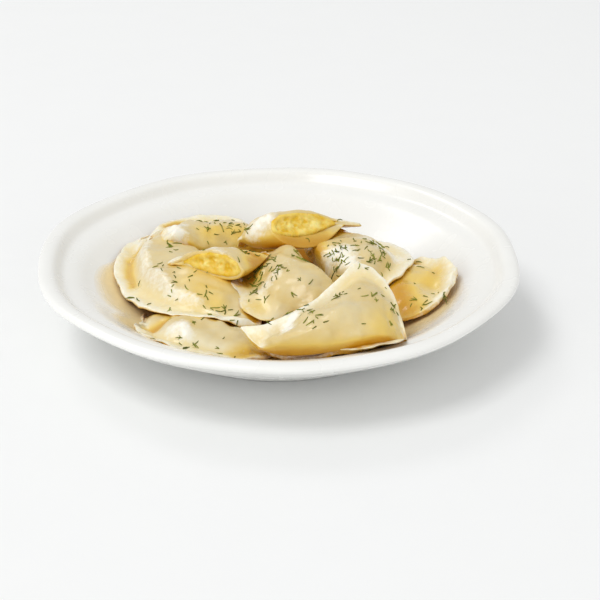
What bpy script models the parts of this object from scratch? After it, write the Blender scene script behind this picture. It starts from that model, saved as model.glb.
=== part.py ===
# A deep plate of pierogi: boiled half-moon dumplings heaped in the well, two of them cut open.
# Metres, +Z up. The plate stands on its foot ring at z = 0, centred on the origin.
import math

import bmesh
import bpy
from mathutils import Matrix, Vector
from mathutils.bvhtree import BVHTree

# ---- driving dimensions: the plate ----
RIM_RADIUS = 0.120          # to the outside of the lip
PLATE_HEIGHT = 0.038
LIP_WIDTH = 0.0060          # raised band on top of the rim
LIP_STEP = 0.0036           # drop from the lip to the brim
BRIM_RADIUS = 0.1100        # where that step ends and the sloping brim starts
WELL_RADIUS = 0.0960        # edge between brim and well
WELL_EDGE_HEIGHT = 0.0278
FLOOR_RADIUS = 0.044        # flat middle of the well
FLOOR_HEIGHT = 0.0080
FOOT_RADIUS = 0.0655
FOOT_WIDTH = 0.0045
FOOT_HEIGHT = 0.0026
RIM_WAVE = 0.0009           # how far the hand-shaped rim strays from a circle
PLATE_STEPS = 64

# ---- driving dimensions: one whole dumpling ----
LENGTH = 0.078              # tip to tip
WIDTH = 0.043               # fold to sealed edge
BELLY = 0.023               # thickness over the filling
FLAP = 0.0100               # width of the sealed flap
FLAP_THICKNESS = 0.0028
EDGE_ROUND = 0.0005         # how far the sealed edge's corners stand in from its outline
DOUGH = 0.0024              # wall of dough round the filling, seen where it is cut
SEAL_HEIGHT = 0.0016        # the pocket's narrow end, where the flap begins
SEAL_SHARES = (0.5, 0.2, -0.2, -0.5)
GAP = 0.0003                # between the filling and its dough
REST_GAP = 0.0006           # between a dumpling and what it lies on
SOFTNESS = 0.0015           # how gently a dumpling's underside bends over an edge
REACH = 0.0022              # how far round each corner that is felt for
FACE_REACH = 0.0008         # and round the middle of each face
STATIONS = 19               # sections along a whole dumpling
HALF_STATIONS = 11          # and along a cut one
POCKET_STATIONS = 7         # of which the filling's pocket runs through this many, if not told otherwise

# Points over the belly from crease to fold: (share of the way, share of the height)
BELLY_CURVE = ((0.08, 0.20), (0.26, 0.66), (0.52, 0.98), (0.76, 0.93), (0.94, 0.56))

# Each dumpling: place of its middle, heading of its length, tilt round its length (lean, flap up)
# and along it (pitch). Bottom of the heap first: each one lies on those before it.
HEAP = {
    "pierog_front_left": dict(at=(-0.038, -0.057, 0.017), heading=150, lean=14, pitch=0, belly=0.014,
                              length=0.076, droop=0.001),
    "pierog_front_low": dict(at=(0.0325, -0.0636, 0.018), heading=-151, lean=16, pitch=0, belly=0.012,
                             length=0.071, droop=0.001),
    "pierog_left": dict(at=(-0.0520, -0.0080, 0.022), heading=120, lean=-3, pitch=0, length=0.116,
                        width=0.0432, belly=0.016, droop=0.003, tip=0.006, bow=0.010),
    "pierog_back_left": dict(at=(-0.037, 0.050, 0.022), heading=16, lean=8, pitch=0, length=0.072,
                             width=0.042, belly=0.018, droop=0.001),
    "pierog_right": dict(at=(0.067, -0.005, 0.021), heading=-89, lean=16, pitch=0, length=0.070,
                         width=0.041, belly=0.013, droop=-0.002),
    "pierog_back_right": dict(at=(0.041, 0.018, 0.025), heading=-72, lean=3, pitch=0, width=0.047,
                              belly=0.022, droop=0.001, bow=0.003),
    "pierog_middle": dict(at=(0.002, -0.018, 0.028), heading=120, lean=-6, pitch=-2, belly=0.021,
                          droop=0.004, bow=0.003, sag=0.006),
    "pierog_front": dict(at=(0.0265, -0.0655, 0.0373), heading=2, lean=29, pitch=-2, length=0.067,
                         width=0.051, skew=0.37, peak=1.0, belly=0.021, droop=0.0, bow=0.008,
                         tip=0.004, blunt=0.009, fan=0.8),
    "pierog_half_left": dict(at=(-0.034, -0.016, 0.036), heading=56, lean=-9, pitch=-8, cut="start",
                             belly=0.016, length=0.054, width=0.045, flap=0.008, sag=0.008),
    "pierog_half_top": dict(at=(0.0205, 0.018, 0.0450), heading=-22, lean=-19, pitch=16, cut="end",
                            belly=0.022, slant=0.66, tilt=0.5, low=0.58, floor=0.30,
                            pocket=6),
}
COLLECTION = "pierogi_plate"
DOUGH_COLOUR = (0.86, 0.76, 0.52)
FILLING_COLOUR = (0.86, 0.66, 0.24)
GLAZE_COLOUR = (0.90, 0.90, 0.87)


def clear_scene():
    for obj in list(bpy.data.objects):
        bpy.data.objects.remove(obj, do_unlink=True)


def make_material(name, colour, roughness):
    material = bpy.data.materials.new(name)
    material.use_nodes = True
    shader = material.node_tree.nodes["Principled BSDF"]
    shader.inputs["Base Color"].default_value = (*colour, 1.0)
    shader.inputs["Roughness"].default_value = roughness
    shader.inputs["Metallic"].default_value = 0.0
    return material


def add_object(name, mesh, material, collection):
    obj = bpy.data.objects.new(name, mesh)
    collection.objects.link(obj)
    mesh.materials.clear()
    mesh.materials.append(material)
    mesh.shade_smooth()
    mesh.set_sharp_from_angle(angle=math.radians(50))
    return obj


def smooth_step(low, high, value):
    t = min(1.0, max(0.0, (value - low) / (high - low)))
    return t * t * (3.0 - 2.0 * t)


# ---------------------------------------------------------------- plate
def well_height(radius):
    """Height of the plate's inner surface, out to the edge of the well."""
    if radius <= FLOOR_RADIUS:
        return FLOOR_HEIGHT
    t = (radius - FLOOR_RADIUS) / (WELL_RADIUS - FLOOR_RADIUS)
    return FLOOR_HEIGHT + (WELL_EDGE_HEIGHT - FLOOR_HEIGHT) * t ** 1.8


def plate_profile():
    """Half section, from the middle of the well out over the lip and down to the foot."""
    brim_top = PLATE_HEIGHT - LIP_STEP - 0.0008
    points = [(0.0, FLOOR_HEIGHT)]
    well_stops = 6
    for i in range(well_stops + 1):
        radius = FLOOR_RADIUS + (WELL_RADIUS - FLOOR_RADIUS) * i / well_stops
        points.append((radius, well_height(radius)))
    points.append((WELL_RADIUS + 0.003, WELL_EDGE_HEIGHT + 0.0016))
    points.append((BRIM_RADIUS, brim_top))
    lip_inner = RIM_RADIUS - LIP_WIDTH
    points.append((lip_inner - 0.0008, PLATE_HEIGHT - 0.0012))
    points.append((lip_inner + 0.0008, PLATE_HEIGHT - 0.0002))
    points.append((RIM_RADIUS - 0.0028, PLATE_HEIGHT))
    points.append((RIM_RADIUS - 0.0007, PLATE_HEIGHT - 0.0006))
    points.append((RIM_RADIUS, PLATE_HEIGHT - 0.0019))
    points.append((RIM_RADIUS - 0.0012, PLATE_HEIGHT - 0.0036))
    wall_top = Vector((RIM_RADIUS - 0.0050, PLATE_HEIGHT - 0.0066))
    wall_foot = Vector((FOOT_RADIUS, 0.0010))
    wall_stops = 5
    for i in range(wall_stops + 1):
        point = wall_top.lerp(wall_foot, i / wall_stops)
        bow = 0.0009 * math.sin(math.pi * i / wall_stops)
        points.append((point.x + bow * 0.5, point.y - bow * 0.6))
    points.append((FOOT_RADIUS - 0.0010, 0.0))
    points.append((FOOT_RADIUS - FOOT_WIDTH, 0.0))
    points.append((FOOT_RADIUS - FOOT_WIDTH - 0.0010, FOOT_HEIGHT))
    points.append((0.0, FOOT_HEIGHT + 0.0006))
    return points


def rim_wave(angle):
    """How far the rim stands out at an angle, as a share of RIM_WAVE."""
    return (math.cos(3 * angle - 0.9) * 0.5 + math.cos(5 * angle - 1.5) * 0.45
            + math.cos(8 * angle - 2.6) * 0.55)


def make_plate(material, collection):
    bpy.ops.mesh.primitive_plane_add(size=0.01)
    turned = bpy.context.object
    shape = bmesh.new()
    corners = [shape.verts.new((radius, 0.0, height)) for radius, height in plate_profile()]
    for first, second in zip(corners, corners[1:]):
        shape.edges.new((first, second))
    shape.to_mesh(turned.data)
    shape.free()
    screw = turned.modifiers.new("turn", "SCREW")
    screw.steps = PLATE_STEPS
    screw.render_steps = PLATE_STEPS
    screw.use_merge_vertices = True
    screw.merge_threshold = 0.00005
    screw.use_smooth_shade = True
    evaluated = turned.evaluated_get(bpy.context.evaluated_depsgraph_get())
    mesh = bpy.data.meshes.new_from_object(evaluated)
    bpy.data.objects.remove(turned, do_unlink=True)
    for vertex in mesh.vertices:
        radius = math.hypot(vertex.co.x, vertex.co.y)
        if radius < 0.001:
            continue
        angle = math.atan2(vertex.co.y, vertex.co.x)
        share = smooth_step(WELL_RADIUS - 0.006, RIM_RADIUS, radius)
        stretch = 1.0 + RIM_WAVE * rim_wave(angle) * share / radius
        vertex.co.x *= stretch
        vertex.co.y *= stretch
        vertex.co.z += 0.0005 * share * math.sin(2 * angle + 0.7)
    mesh.name = "plate"
    return add_object("plate", mesh, material, collection)


# ---------------------------------------------------------------- dumplings
def dumpling_sizes(options):
    sizes = dict(length=LENGTH, width=WIDTH, belly=BELLY, flap=FLAP, skew=0.0, droop=0.003,
                 sag=0.003, ripple=0.0007, slant=0.0, low=0.40, bow=0.004, cut=None, peak=0.0,
                 tilt=0.0, tip=0.0035, blunt=0.0, fan=0.0, floor=0.0, pocket=POCKET_STATIONS)
    sizes.update({key: value for key, value in options.items() if key in sizes})
    return sizes


def outline(q, sizes):
    """Half-moon from 0 at the tips to 1 in the middle. Peak makes its first half a straight slope."""
    peak = sizes["peak"] if q < 0.0 else 0.0
    power, root = 2.2 - 1.1 * peak, 0.60 + 0.28 * peak
    return max(0.0, 1.0 - min(1.0, abs(q)) ** power) ** root


def sealed_edge(s, sizes):
    """How far the sealed edge stands from the fold at s. Blunt widens the first tip."""
    q = s - sizes["skew"] * (1.0 - s * s)
    tip = sizes["tip"] + sizes["blunt"] * max(0.0, -s) ** 2
    return tip + (sizes["width"] - tip) * outline(q, sizes)


def section(s, sizes):
    """One ring of points across a dumpling at s, from -1 at one tip to 1 at the other.
    The ring runs from the fold over the top to the sealed edge and back underneath."""
    edge = sealed_edge(s, sizes)
    fold = -sizes["bow"] * (1.0 - s * s) + 0.2 * sizes["tip"]
    flap = min(sizes["flap"] * (1.0 - 0.25 * s * s), 0.62 * (edge - fold))
    crease = edge - flap
    swell = (sizes["belly"] - FLAP_THICKNESS) * max(0.0, 1.0 - abs(s / 0.90) ** 2.4) ** 0.62
    low = sizes["low"]
    x = 0.5 * sizes["length"] * s
    half = 0.5 * FLAP_THICKNESS
    top, bottom = [], []
    belly_width = crease - fold
    for share, height in BELLY_CURVE:
        y = crease - belly_width * share
        top.append((x, y, half + (1.0 - low) * swell * height))
        bottom.append((x, y, -half - low * swell * height))
    nose = (x, fold - min(0.5 * half, 0.1 * belly_width), (0.5 - low) * swell * 0.30)
    rim = edge - EDGE_ROUND
    flap_top = [(x, crease, half), (x, rim, 0.72 * half)]
    flap_low = [(x, rim, -0.72 * half), (x, crease, -half)]
    return [nose] + top[::-1] + flap_top + flap_low + bottom


def inner_ring(outer, wall, floor):
    """The ring of the pocket: the outer ring moved in by the wall, shut short of the crease.
    Floor thickens the dough under the filling, by a share of the pocket's height."""
    count = len(outer)
    points = [Vector(point) for point in outer]
    first = len(BELLY_CURVE) + 1
    seal = (points[first] + points[first + 3]) * 0.5 - Vector((0.0, 1.6 * wall, 0.0))
    inner = []
    for i, point in enumerate(points):
        if first <= i <= first + 3:
            inner.append(seal + Vector((0.0, 0.0, SEAL_HEIGHT * SEAL_SHARES[i - first])))
            continue
        along = points[(i + 1) % count] - points[i - 1]
        normal = Vector((0.0, along.z, -along.y)).normalized()
        inner.append(point + normal * wall)
    kept_gap = Vector((0.0, 0.0, 2.0 * floor * (wall - DOUGH)))
    for i in range(first + 4, count):
        inner[i] = inner[i].lerp(inner[count - i], floor) + kept_gap
    return inner


def station_values(cut):
    """Where the sections stand along the length; they crowd together towards a tip."""
    if cut is None:
        return [math.sin(0.5 * math.pi * (2.0 * i / (STATIONS - 1) - 1.0)) for i in range(STATIONS)]
    values = [math.sin(0.5 * math.pi * i / (HALF_STATIONS - 1)) for i in range(HALF_STATIONS)]
    return values if cut == "start" else [-v for v in values[::-1]]


def bend(point, sizes):
    """Soften a dumpling: its tips sag, its flap droops and ripples."""
    x, y, z = point
    s = 2.0 * x / sizes["length"]
    edge = sealed_edge(s, sizes)
    past = max(0.0, y - (edge - sizes["flap"])) / sizes["flap"]
    z -= sizes["sag"] * s * s
    z -= sizes["droop"] * min(past, 1.2) ** 1.5
    z += sizes["ripple"] * past * math.sin(7.0 * s)
    x -= sizes["fan"] * y * max(0.0, -s) ** 2
    if sizes["cut"] is not None:
        side = 1.0 if sizes["cut"] == "end" else -1.0
        shift = sizes["slant"] * (y - 0.55 * sizes["width"]) - sizes["tilt"] * z
        x += side * shift * (1.0 - abs(s))
    return Vector((x, y - 0.4 * sizes["width"], z))


def placed(rings, options):
    turn = (Matrix.Translation(options["at"])
            @ Matrix.Rotation(math.radians(options["heading"]), 4, "Z")
            @ Matrix.Rotation(math.radians(-options["pitch"]), 4, "Y")
            @ Matrix.Rotation(math.radians(options["lean"]), 4, "X"))
    return [[turn @ point for point in ring] for ring in rings]


def plate_top(x, y):
    radius = math.hypot(x, y)
    if radius <= WELL_RADIUS:
        return well_height(radius)
    return WELL_EDGE_HEIGHT + (radius - WELL_RADIUS) * 0.42


def support_height(trees, x, y, reach=REACH):
    """Highest thing under a spot: the plate or a dumpling already in the heap."""
    height = plate_top(x, y)
    for dx, dy in ((0, 0), (reach, 0), (-reach, 0), (0, reach), (0, -reach)):
        for tree in trees:
            hit = tree.ray_cast(Vector((x + dx, y + dy, 0.3)), Vector((0, 0, -1)))[0]
            if hit is not None:
                height = max(height, hit.z)
    return height


def lay_down(rings, trees):
    """How far each point is pushed up off whatever lies beneath the dumpling: softly, and with
    the top following the underside so that the dumpling keeps its thickness."""
    count = len(rings[0])
    last = len(rings) - 1
    needed = []
    for ring in rings:
        over = [(support_height(trees, point.x, point.y) + REST_GAP - point.z) / SOFTNESS for point in ring]
        needed.append([SOFTNESS * math.log1p(math.exp(min(value, 60.0))) for value in over])
    push = needed
    for _ in range(3):
        smoothed = []
        for i, row in enumerate(push):
            before, after = push[max(0, i - 1)], push[min(last, i + 1)]
            smoothed.append([0.34 * row[j] + 0.22 * (before[j] + after[j])
                             + 0.11 * (row[j - 1] + row[(j + 1) % count]) for j in range(count)])
        push = [[max(pair) for pair in zip(row, need)] for row, need in zip(smoothed, needed)]
    first_flap = len(BELLY_CURVE) + 1
    for row in push:
        for j in range(1, (count + 1) // 2):
            follow = 0.92 if j >= first_flap else 0.72
            row[j] = max(row[j], row[count - j] * follow)
    clear_faces(rings, push, trees)
    return push


def clear_faces(rings, push, trees):
    """Lift the corners of any face whose middle still dips into what it lies on."""
    count = len(rings[0])
    for i in range(len(rings) - 1):
        for j in range(count):
            corners = ((i, j), (i, (j + 1) % count), (i + 1, j), (i + 1, (j + 1) % count))
            middle = sum((rings[a][b] for a, b in corners), Vector()) / 4
            height = middle.z + sum(push[a][b] for a, b in corners) / 4
            short = support_height(trees, middle.x, middle.y, FACE_REACH) + REST_GAP - height
            if short > 0.0:
                for a, b in corners:
                    push[a][b] += short


def lifted(rings, push):
    return [[point + Vector((0, 0, push[i][j])) for j, point in enumerate(ring)]
            for i, ring in enumerate(rings)]


def loft(shape, rings, flip=False):
    """Quads between neighbouring rings; returns the rings of new vertices."""
    rows = [[shape.verts.new(point) for point in ring] for ring in rings]
    for first, second in zip(rows, rows[1:]):
        count = len(first)
        for j in range(count):
            corners = [first[j], first[(j + 1) % count], second[(j + 1) % count], second[j]]
            shape.faces.new(corners[::-1] if flip else corners)
    return rows


def cap(shape, ring, flip=False):
    shape.faces.new(ring[::-1] if flip else ring)


def finish_mesh(name, shape):
    bmesh.ops.remove_doubles(shape, verts=shape.verts, dist=0.00001)
    if shape.calc_volume(signed=True) < 0.0:
        bmesh.ops.reverse_faces(shape, faces=shape.faces)
    mesh = bpy.data.meshes.new(name)
    shape.to_mesh(mesh)
    shape.free()
    return mesh


def whole_mesh(name, rings):
    shape = bmesh.new()
    rows = loft(shape, rings)
    cap(shape, rows[0], flip=True)
    cap(shape, rows[-1])
    return finish_mesh(name, shape)


def build_whole(name, options, trees):
    sizes = dumpling_sizes(options)
    rings = [[bend(point, sizes) for point in section(s, sizes)] for s in station_values(None)]
    rings = placed(rings, options)
    rings = lifted(rings, lay_down(rings, trees))
    return whole_mesh(name, rings)


def build_half(name, options, trees):
    """A cut dumpling: its dough, open at the cut, and the filling in it."""
    sizes = dumpling_sizes(options)
    values = station_values(sizes["cut"])
    if sizes["cut"] == "end":
        values = values[::-1]
    flat = [section(s, sizes) for s in values]
    outer = [[bend(point, sizes) for point in ring] for ring in flat]
    deep = flat[:sizes["pocket"]]
    floor = sizes["floor"]
    pocket = [[bend(point, sizes) for point in inner_ring(ring, DOUGH, floor)] for ring in deep]
    stuffing = [[bend(point, sizes) for point in inner_ring(ring, DOUGH + GAP, floor)] for ring in deep]
    outer = placed(outer, options)
    push = lay_down(outer, trees)
    outer = lifted(outer, push)
    pocket = lifted(placed(pocket, options), push)
    stuffing = lifted(placed(stuffing, options), push)
    shape = bmesh.new()
    outer_rows = loft(shape, outer)
    pocket_rows = loft(shape, pocket, flip=True)
    cap(shape, outer_rows[-1])
    cap(shape, pocket_rows[-1], flip=True)
    count = len(outer_rows[0])
    for j in range(count):
        k = (j + 1) % count
        corners = [outer_rows[0][j], pocket_rows[0][j], pocket_rows[0][k], outer_rows[0][k]]
        shape.faces.new(corners)
    dough = finish_mesh(name, shape)
    shape = bmesh.new()
    inward = (stuffing[-1][0] - stuffing[0][0]).normalized()
    stuffing[-1] = [point - inward * GAP for point in stuffing[-1]]
    rows = loft(shape, stuffing)
    cap(shape, rows[0], flip=True)
    cap(shape, rows[-1])
    filling = finish_mesh(name + "_filling", shape)
    return dough, filling


def tree_of(mesh):
    corners = [vertex.co.copy() for vertex in mesh.vertices]
    return BVHTree.FromPolygons(corners, [tuple(face.vertices) for face in mesh.polygons])


def main():
    clear_scene()
    collection = bpy.data.collections.new(COLLECTION)
    bpy.context.scene.collection.children.link(collection)
    glaze = make_material("glazed_white", GLAZE_COLOUR, 0.18)
    dough = make_material("boiled_dough", DOUGH_COLOUR, 0.32)
    cheese = make_material("potato_cheese", FILLING_COLOUR, 0.60)
    make_plate(glaze, collection)
    trees = []
    for name, options in HEAP.items():
        if options.get("cut") is None:
            mesh = build_whole(name, options, trees)
            add_object(name, mesh, dough, collection)
        else:
            mesh, filling = build_half(name, options, trees)
            add_object(name, mesh, dough, collection)
            add_object(name + "_filling", filling, cheese, collection)
        trees.append(tree_of(mesh))


main()
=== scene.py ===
# A deep white plate of pierogi with melted butter and dill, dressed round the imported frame.
import math
import random

import bmesh
import bpy
from mathutils import Matrix, Vector, noise
from mathutils.bvhtree import BVHTree


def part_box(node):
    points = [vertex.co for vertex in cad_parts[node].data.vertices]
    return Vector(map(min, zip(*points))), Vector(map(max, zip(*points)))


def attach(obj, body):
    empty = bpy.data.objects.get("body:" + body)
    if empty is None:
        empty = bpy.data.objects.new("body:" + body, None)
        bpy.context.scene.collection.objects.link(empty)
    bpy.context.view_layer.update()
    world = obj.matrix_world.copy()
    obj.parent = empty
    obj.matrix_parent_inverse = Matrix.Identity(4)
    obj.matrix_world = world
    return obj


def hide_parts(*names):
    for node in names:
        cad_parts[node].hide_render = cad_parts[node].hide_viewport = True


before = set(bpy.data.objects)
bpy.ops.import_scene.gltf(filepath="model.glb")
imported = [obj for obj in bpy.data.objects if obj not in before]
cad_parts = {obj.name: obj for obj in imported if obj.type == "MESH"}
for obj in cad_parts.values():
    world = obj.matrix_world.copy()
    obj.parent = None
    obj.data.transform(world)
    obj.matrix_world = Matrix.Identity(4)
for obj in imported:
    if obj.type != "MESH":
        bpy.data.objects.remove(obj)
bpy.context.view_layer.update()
print("frame loaded:", len(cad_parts), "nodes")


def deselectAll():
    if bpy.context.mode != "OBJECT":
        bpy.ops.object.mode_set(mode="OBJECT")
    bpy.ops.object.select_all(action="DESELECT")


def pick(obj):
    deselectAll()
    obj.select_set(True)
    bpy.context.view_layer.objects.active = obj


def applyModifiers(obj):
    pick(obj)
    for modifier in list(obj.modifiers):
        bpy.ops.object.modifier_apply(modifier=modifier.name)


def smoothStep(low, high, value):
    share = min(1.0, max(0.0, (value - low) / (high - low)))
    return share * share * (3.0 - 2.0 * share)


def treeOf(*objs):
    corners, faces = [], []
    for obj in objs:
        start = len(corners)
        corners += [vertex.co.copy() for vertex in obj.data.vertices]
        faces += [tuple(start + i for i in face.vertices) for face in obj.data.polygons]
    return BVHTree.FromPolygons(corners, faces)


def addSubdivision(obj, levels):
    subdivision = obj.modifiers.new("subdivision", "SUBSURF")
    subdivision.levels = levels
    subdivision.render_levels = levels


def addClouds(obj, name, size, height, group="", direction="NORMAL", depth=2, basis="BLENDER_ORIGINAL"):
    texture = bpy.data.textures.new(name, "CLOUDS")
    texture.noise_scale = size
    texture.noise_depth = depth
    texture.noise_basis = basis
    texture.cloud_type = "COLOR" if direction == "RGB_TO_XYZ" else "GRAYSCALE"
    displace = obj.modifiers.new(name, "DISPLACE")
    displace.texture = texture
    displace.strength = height
    displace.mid_level = 0.5
    displace.direction = direction
    displace.texture_coords = "LOCAL"
    displace.vertex_group = group


def writeAttribute(obj, name, values):
    attribute = obj.data.attributes.new(name, "FLOAT", "POINT")
    attribute.data.foreach_set("value", values)


def newMaterial(name):
    material = bpy.data.materials.new(name)
    material.use_nodes = True
    return material, material.node_tree, material.node_tree.nodes["Principled BSDF"]


def addNode(tree, kind, links=None, values=None, **settings):
    node = tree.nodes.new(kind)
    for key, value in settings.items():
        setattr(node, key, value)
    for key, value in (values or {}).items():
        node.inputs[key].default_value = value
    for key, socket in (links or {}).items():
        tree.links.new(socket, node.inputs[key])
    return node


def addNoise(tree, place, scale, detail=3.0, roughness=0.5):
    values = {"Scale": scale, "Detail": detail, "Roughness": roughness}
    return addNode(tree, "ShaderNodeTexNoise", {"Vector": place}, values).outputs["Fac"]


def addRange(tree, value, low, high, outLow, outHigh):
    values = {"From Min": low, "From Max": high, "To Min": outLow, "To Max": outHigh}
    return addNode(tree, "ShaderNodeMapRange", {"Value": value}, values).outputs["Result"]


def addMix(tree, share, first, second):
    mix = addNode(tree, "ShaderNodeMix", data_type="RGBA")
    for socket, value in ((mix.inputs[0], share), (mix.inputs[6], first), (mix.inputs[7], second)):
        if isinstance(value, bpy.types.NodeSocket):
            tree.links.new(value, socket)
        else:
            socket.default_value = value if isinstance(value, float) else (*value, 1.0)
    return mix.outputs[2]


def addMath(tree, operation, first, second):
    node = addNode(tree, "ShaderNodeMath", operation=operation)
    for socket, value in ((node.inputs[0], first), (node.inputs[1], second)):
        if isinstance(value, bpy.types.NodeSocket):
            tree.links.new(value, socket)
        else:
            socket.default_value = value
    return node.outputs[0]


def addBump(tree, height, strength, distance, before=None):
    links = {"Height": height}
    if before is not None:
        links["Normal"] = before
    values = {"Strength": strength, "Distance": distance}
    return addNode(tree, "ShaderNodeBump", links, values).outputs["Normal"]


# materials, each with what a user would change in a dictionary above it
glaze = dict(colour=(0.885, 0.885, 0.855), shade=(0.84, 0.84, 0.80), cloudScale=28.0, swellScale=70.0,
             swellBump=0.12, swellDepth=0.0006, roughness=0.26, coat=0.35, coatRoughness=0.20)


def makeGlaze():
    material, tree, shader = newMaterial("whiteGlaze")
    place = addNode(tree, "ShaderNodeTexCoord").outputs["Object"]
    cloud = addRange(tree, addNoise(tree, place, glaze["cloudScale"], 4.0), 0.35, 0.7, 0.0, 0.6)
    tree.links.new(addMix(tree, cloud, glaze["colour"], glaze["shade"]), shader.inputs["Base Color"])
    swell = addNoise(tree, place, glaze["swellScale"], 2.0)
    rough = addRange(tree, swell, 0.3, 0.7, glaze["roughness"] - 0.02, glaze["roughness"] + 0.03)
    tree.links.new(rough, shader.inputs["Roughness"])
    bump = addBump(tree, swell, glaze["swellBump"], glaze["swellDepth"])
    tree.links.new(bump, shader.inputs["Normal"])
    shader.inputs["Coat Weight"].default_value = glaze["coat"]
    shader.inputs["Coat Roughness"].default_value = glaze["coatRoughness"]
    shader.inputs["IOR"].default_value = 1.5
    return material


# golden and amber stand for butter together with painted shade where the dumplings are closed in or turned from
# the key light
dough = dict(pale=(0.715, 0.59, 0.32), warm=(0.69, 0.505, 0.175), flap=(0.93, 0.87, 0.64),
             # highlight is a painted highlight, laid by strokes and on the flap rims
             butterShadeGolden=(0.81, 0.57, 0.11), butterShadeAmber=(0.60, 0.29, 0.006), highlight=(0.93, 0.91, 0.81),
             flapShare=0.8, patchScale=55.0, mottleScale=260.0, frayScale=420.0, fray=1.1, wetScale=95.0,
             butterShine=0.12, softScale=330.0, softBump=0.22, softDepth=0.0005, grainScale=1100.0,
             grainBump=0.06, grainDepth=0.0002, scatter=0.12, scatterDepth=0.0020,
             scatterColour=(1.0, 0.75, 0.40), coat=0.60, coatRoughness=0.22, shine=0.25)


def makeDough():
    material, tree, shader = newMaterial("boiledDough")
    place = addNode(tree, "ShaderNodeTexCoord").outputs["Object"]
    flap = addNode(tree, "ShaderNodeAttribute", attribute_name="thinDough").outputs["Fac"]
    butterShade = addNode(tree, "ShaderNodeAttribute", attribute_name="butterSoakAndShade").outputs["Fac"]
    highlighted = addNode(tree, "ShaderNodeAttribute", attribute_name="paintedHighlight").outputs["Fac"]
    patches = addRange(tree, addNoise(tree, place, dough["patchScale"], 3.0), 0.35, 0.68, 0.0, 0.75)
    mottle = addRange(tree, addNoise(tree, place, dough["mottleScale"], 4.0, 0.6), 0.3, 0.75, -0.1, 0.2)
    body = addMix(tree, addMath(tree, "ADD", patches, mottle), dough["pale"], dough["warm"])
    body = addMix(tree, addMath(tree, "MULTIPLY", flap, dough["flapShare"]), body, dough["flap"])
    # butter and painted shade: a little turns the dough golden, a lot of it amber
    body = addMix(tree, addRange(tree, butterShade, 0.0, 0.60, 0.0, 0.95), body, dough["butterShadeGolden"])
    body = addMix(tree, addRange(tree, butterShade, 0.55, 1.0, 0.0, 0.95), body, dough["butterShadeAmber"])
    # painted highlight with a frayed edge
    fray = addMath(tree, "SUBTRACT", addNoise(tree, place, dough["frayScale"], 3.0, 0.6), 0.5)
    highlighted = addMath(tree, "ADD", highlighted, addMath(tree, "MULTIPLY", fray, dough["fray"]))
    highlighted = addRange(tree, highlighted, 0.20, 0.85, 0.0, 0.9)
    tree.links.new(addMix(tree, highlighted, body, dough["highlight"]), shader.inputs["Base Color"])
    wet = addRange(tree, addNoise(tree, place, dough["wetScale"], 2.0), 0.32, 0.66, 0.30, 0.46)
    rough = addMath(tree, "SUBTRACT", wet, addMath(tree, "MULTIPLY", butterShade, dough["butterShine"]))
    tree.links.new(rough, shader.inputs["Roughness"])
    soft = addNoise(tree, place, dough["softScale"], 3.0)
    grain = addNoise(tree, place, dough["grainScale"], 2.0)
    bump = addBump(tree, soft, dough["softBump"], dough["softDepth"])
    bump = addBump(tree, grain, dough["grainBump"], dough["grainDepth"], bump)
    tree.links.new(bump, shader.inputs["Normal"])
    shader.inputs["Subsurface Weight"].default_value = dough["scatter"]
    shader.inputs["Subsurface Radius"].default_value = dough["scatterColour"]
    shader.inputs["Subsurface Scale"].default_value = dough["scatterDepth"]
    shader.inputs["Coat Weight"].default_value = dough["coat"]
    shader.inputs["Coat Roughness"].default_value = dough["coatRoughness"]
    shader.inputs["Specular IOR Level"].default_value = dough["shine"]
    shader.inputs["IOR"].default_value = 1.52
    return material


# deep is painted shade in the hollows of the mash and along its lining, mixed with random clumps
mash = dict(pale=(0.92, 0.78, 0.26), deep=(0.76, 0.47, 0.010), clumpScale=260.0, crumbScale=1300.0,
            crumbBump=0.2, crumbDepth=0.0003, scatter=0.2, scatterDepth=0.0015, scatterColour=(1.0, 0.55, 0.18))


def makeMash():
    material, tree, shader = newMaterial("potatoCheese")
    place = addNode(tree, "ShaderNodeTexCoord").outputs["Object"]
    raised = addNode(tree, "ShaderNodeAttribute", attribute_name="raised").outputs["Fac"]
    clumps = addNoise(tree, place, mash["clumpScale"], 3.0)
    crumbs = addNoise(tree, place, mash["crumbScale"], 2.0)
    # painted shade: low places and the lining lean toward the shade colour
    share = addMath(tree, "ADD", raised, addRange(tree, clumps, 0.3, 0.7, -0.45, 0.28))
    tree.links.new(addMix(tree, share, mash["deep"], mash["pale"]), shader.inputs["Base Color"])
    tree.links.new(addRange(tree, clumps, 0.3, 0.7, 0.42, 0.66), shader.inputs["Roughness"])
    tree.links.new(addBump(tree, crumbs, mash["crumbBump"], mash["crumbDepth"]), shader.inputs["Normal"])
    shader.inputs["Subsurface Weight"].default_value = mash["scatter"]
    shader.inputs["Subsurface Radius"].default_value = mash["scatterColour"]
    shader.inputs["Subsurface Scale"].default_value = mash["scatterDepth"]
    return material


herb = dict(dark=(0.105, 0.125, 0.012), bright=(0.29, 0.31, 0.035), patchScale=160.0, grainScale=1800.0,
            shine=0.15)


def makeHerb():
    material, tree, shader = newMaterial("dillGreen")
    place = addNode(tree, "ShaderNodeTexCoord").outputs["Object"]
    patches = addRange(tree, addNoise(tree, place, herb["patchScale"], 2.0), 0.35, 0.68, 0.0, 1.0)
    tree.links.new(addMix(tree, patches, herb["dark"], herb["bright"]), shader.inputs["Base Color"])
    rough = addRange(tree, addNoise(tree, place, herb["grainScale"]), 0.3, 0.7, 0.6, 0.8)
    tree.links.new(rough, shader.inputs["Roughness"])
    shader.inputs["Specular IOR Level"].default_value = herb["shine"]
    return material


# thin is the butter itself; deep is painted shade, for the film between the dumplings
liquid = dict(thin=(0.99, 0.78, 0.40), deep=(0.33, 0.13, 0.004), alpha=0.85, driftScale=60.0, roughness=0.12,
              gapRoughness=0.7, shine=0.08)


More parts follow.
